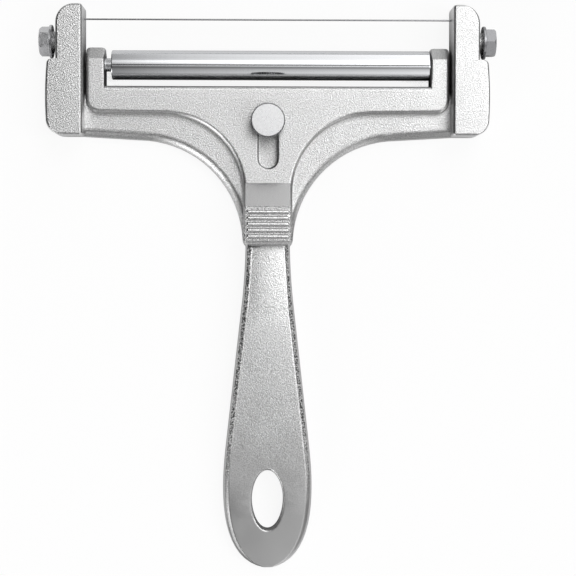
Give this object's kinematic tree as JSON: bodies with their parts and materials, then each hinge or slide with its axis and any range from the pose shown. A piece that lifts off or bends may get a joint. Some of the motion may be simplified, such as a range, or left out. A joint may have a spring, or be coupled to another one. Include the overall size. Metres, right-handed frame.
{
  "type": "wire cheese slicer",
  "caption": "Hand-held cheese slicer: cast T-shaped frame with a taut cutting wire and a sliding roller on a clamped carrier that sets the slice thickness",
  "frame": {"origin": "middle of the bounding box on its underside, which is the flat back of the frame", "axes": "X along the wire, +Y from the handle to the wire, +Z out of the front, where the thumb screw is"},
  "size_m": [0.1238, 0.154, 0.0135],
  "materials": {
    "cast_metal": "bead-blasted die casting",
    "polished_steel": "polished",
    "drawn_steel": "drawn, bright",
    "plated_steel": "turned and plated",
    "bush_plastic": "moulded"
  },
  "bodies": {
    "frame": {"handle_frame": "cast_metal", "cutting_wire": "drawn_steel", "wire_sleeve_left": "plated_steel", "wire_sleeve_right": "plated_steel"},
    "carrier": {"roller_carrier": "cast_metal", "roller_axle": "drawn_steel"},
    "roller": {"roller_tube": "polished_steel", "roller_bush_left": "bush_plastic", "roller_bush_right": "bush_plastic"},
    "thumb_washer": {"thumb_washer": "plated_steel"},
    "thumb_screw": {"thumb_screw": "plated_steel"},
    "left_washer": {"wire_washer_left": "plated_steel"},
    "left_bolt": {"wire_bolt_left": "plated_steel"},
    "right_washer": {"wire_washer_right": "plated_steel"},
    "right_bolt": {"wire_bolt_right": "plated_steel"}
  },
  "joints": [
    {"name": "carrier_slide", "type": "slide", "parent": "frame", "child": "carrier", "axis": [0, 1, 0], "range_m": [0, 0.007]},
    {"name": "roller_spin", "type": "hinge", "parent": "carrier", "child": "roller", "pos_m": [0, 0.0612, 0.0043], "axis": [1, 0, 0], "continuous": true},
    {"name": "thumb_washer_lift", "type": "slide", "parent": "frame", "child": "thumb_washer", "axis": [0, 0, 1], "range_m": [0, 0.0014]},
    {"name": "thumb_screw_turn", "type": "hinge", "parent": "thumb_washer", "child": "thumb_screw", "pos_m": [0, 0.0457, 0.009], "axis": [0, 0, 1], "range_deg": [0, 720]},
    {"name": "left_washer_lift", "type": "slide", "parent": "frame", "child": "left_washer", "axis": [-1, 0, 0], "range_m": [0, 0.0014]},
    {"name": "left_bolt_turn", "type": "hinge", "parent": "left_washer", "child": "left_bolt", "pos_m": [-0.0592, 0.0673, 0.006], "axis": [-1, 0, 0], "range_deg": [0, 720]},
    {"name": "right_washer_lift", "type": "slide", "parent": "frame", "child": "right_washer", "axis": [1, 0, 0], "range_m": [0, 0.0014]},
    {"name": "right_bolt_turn", "type": "hinge", "parent": "right_washer", "child": "right_bolt", "pos_m": [0.0592, 0.0673, 0.006], "axis": [1, 0, 0], "range_deg": [0, 720]}
  ],
  "couplings": [
    {"joint": "thumb_screw_turn", "follows": "thumb_washer_lift", "rad_per_m": 8976},
    {"joint": "left_bolt_turn", "follows": "left_washer_lift", "rad_per_m": 8976},
    {"joint": "right_bolt_turn", "follows": "right_washer_lift", "rad_per_m": 8976}
  ]
}
